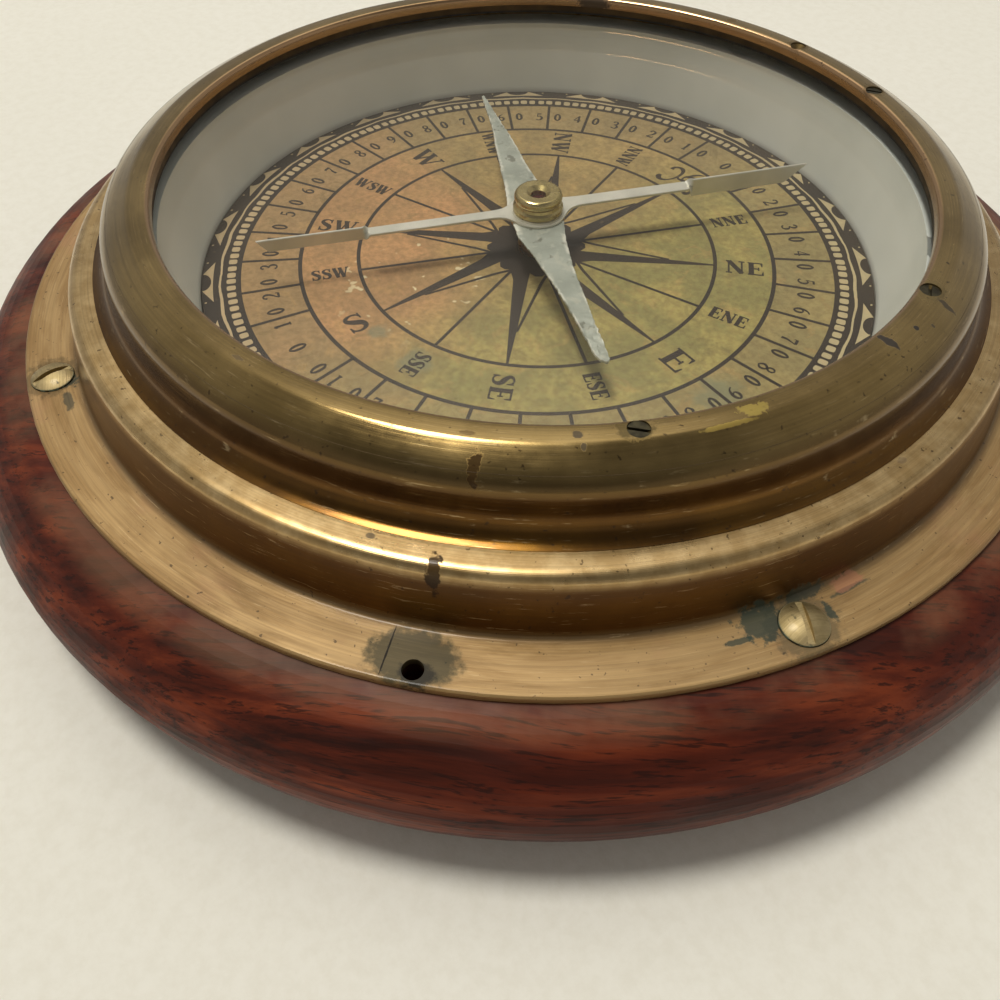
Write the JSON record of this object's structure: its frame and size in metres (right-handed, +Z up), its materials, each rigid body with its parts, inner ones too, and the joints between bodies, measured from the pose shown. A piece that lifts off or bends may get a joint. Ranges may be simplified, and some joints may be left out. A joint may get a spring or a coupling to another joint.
{
  "type": "marine compass",
  "caption": "Magnetic compass with a fixed printed card under glass, in a stepped brass case screwed to a round wooden base.",
  "frame": {"origin": "centre of the underside of the felt, where the base stands", "axes": "+Z up along the pivot axis; +Y towards the card's north; +X towards the card's east"},
  "size_m": [0.179, 0.179, 0.0392],
  "materials": {
    "mahogany": "satin, worn at the lower rim",
    "felt": "matt felt",
    "case_brass": "aged, brushed round the axis",
    "bezel_brass": "aged and polished",
    "screw_brass": "dull, with verdigris",
    "dark_screws": "tarnished",
    "ring_brass": "dull",
    "gasket_rubber": "matt",
    "clear_glass": "polished, lightly scratched",
    "bowl_paint": "satin warm grey",
    "plate_metal": "plain",
    "printed_card": "matt printed paper under varnish",
    "post_brass": "turned",
    "steel": "polished",
    "needle_paint": "worn pale paint",
    "bar_alloy": "satin",
    "cap_brass": "polished",
    "jewel": "polished"
  },
  "bodies": {
    "housing": {"wood_base": "mahogany", "base_felt": "felt", "case_body": "case_brass", "flange_screws": "screw_brass", "bezel_cap": "bezel_brass", "bezel_screws": "dark_screws", "glass_ring": "ring_brass", "glass_gasket": "gasket_rubber", "glass": "clear_glass", "inner_bowl": "bowl_paint", "dial_plate": "plate_metal", "dial_card": "printed_card", "pivot_post": "post_brass", "post_washer": "plate_metal", "post_nut": "post_brass", "pivot_pin": "steel"},
    "needle_assembly": {"needle": "needle_paint", "crossbar": "bar_alloy", "hub_boss": "post_brass", "hub_washer": "bar_alloy", "hub_cap": "cap_brass", "jewel_cup": "jewel"}
  },
  "joints": [
    {"name": "needle_spin", "type": "hinge", "parent": "housing", "child": "needle_assembly", "pos_m": [0, 0, 0.02995], "axis": [0, 0, 1], "continuous": true}
  ]
}
